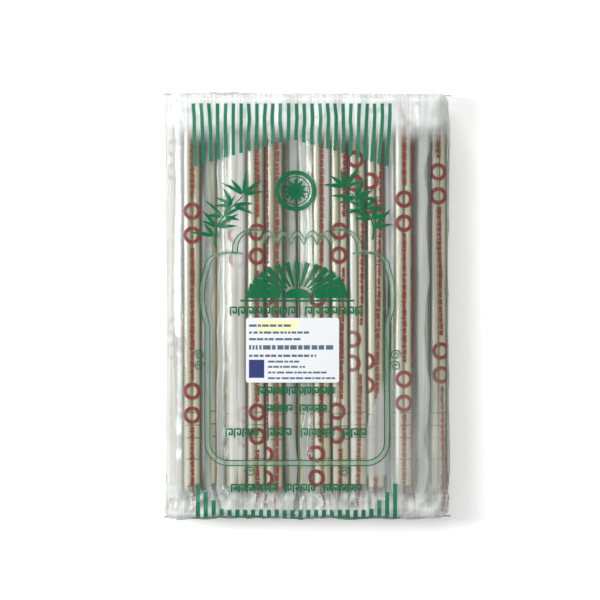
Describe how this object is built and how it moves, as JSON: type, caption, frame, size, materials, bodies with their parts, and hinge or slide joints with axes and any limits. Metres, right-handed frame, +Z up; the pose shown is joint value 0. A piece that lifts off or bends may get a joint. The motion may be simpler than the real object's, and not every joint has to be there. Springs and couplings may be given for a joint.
{
  "type": "bag of bamboo chopsticks",
  "caption": "Sealed clear printed film bag full of round tapered bamboo chopsticks, each pair in its own clear film sleeve, with a paper label on the front. Lies flat on its back.",
  "frame": {"origin": "on the ground under the middle of the bag, which lies on its back", "axes": "+Z up out of the printed front, +Y along the sticks towards their tips, +X across the bag"},
  "size_m": [0.1834, 0.2706, 0.0411],
  "materials": {
    "bag_film": "clear glossy film, printed",
    "sleeve_film": "clear glossy film",
    "bamboo": "turned and sanded smooth",
    "label_paper": "semi-gloss coated paper"
  },
  "bodies": {
    "root": {"bag": "bag_film", "label": "label_paper", "layer_1_sleeves": "sleeve_film", "layer_1_sticks": "bamboo", "layer_2_sleeves": "sleeve_film", "layer_2_sticks": "bamboo", "layer_3_sleeves": "sleeve_film", "layer_3_sticks": "bamboo", "layer_4_sleeves": "sleeve_film", "layer_4_sticks": "bamboo", "layer_5_sleeves": "sleeve_film", "layer_5_sticks": "bamboo", "layer_6_sleeves": "sleeve_film", "layer_6_sticks": "bamboo", "left_edge_sleeve": "sleeve_film", "left_edge_stick_left": "bamboo", "left_edge_stick_right": "bamboo", "right_edge_sleeve": "sleeve_film", "right_edge_stick_left": "bamboo", "right_edge_stick_right": "bamboo", "top_1_sleeve": "sleeve_film", "top_1_stick_left": "bamboo", "top_1_stick_right": "bamboo", "top_2_sleeve": "sleeve_film", "top_2_stick_left": "bamboo", "top_2_stick_right": "bamboo", "top_3_sleeve": "sleeve_film", "top_3_stick_left": "bamboo", "top_3_stick_right": "bamboo", "top_4_sleeve": "sleeve_film", "top_4_stick_left": "bamboo", "top_4_stick_right": "bamboo", "top_5_sleeve": "sleeve_film", "top_5_stick_left": "bamboo", "top_5_stick_right": "bamboo", "top_6_sleeve": "sleeve_film", "top_6_stick_left": "bamboo", "top_6_stick_right": "bamboo", "top_7_sleeve": "sleeve_film", "top_7_stick_left": "bamboo", "top_7_stick_right": "bamboo", "top_8_sleeve": "sleeve_film", "top_8_stick_left": "bamboo", "top_8_stick_right": "bamboo", "top_9_sleeve": "sleeve_film", "top_9_stick_left": "bamboo", "top_9_stick_right": "bamboo"}
  },
  "joints": []
}
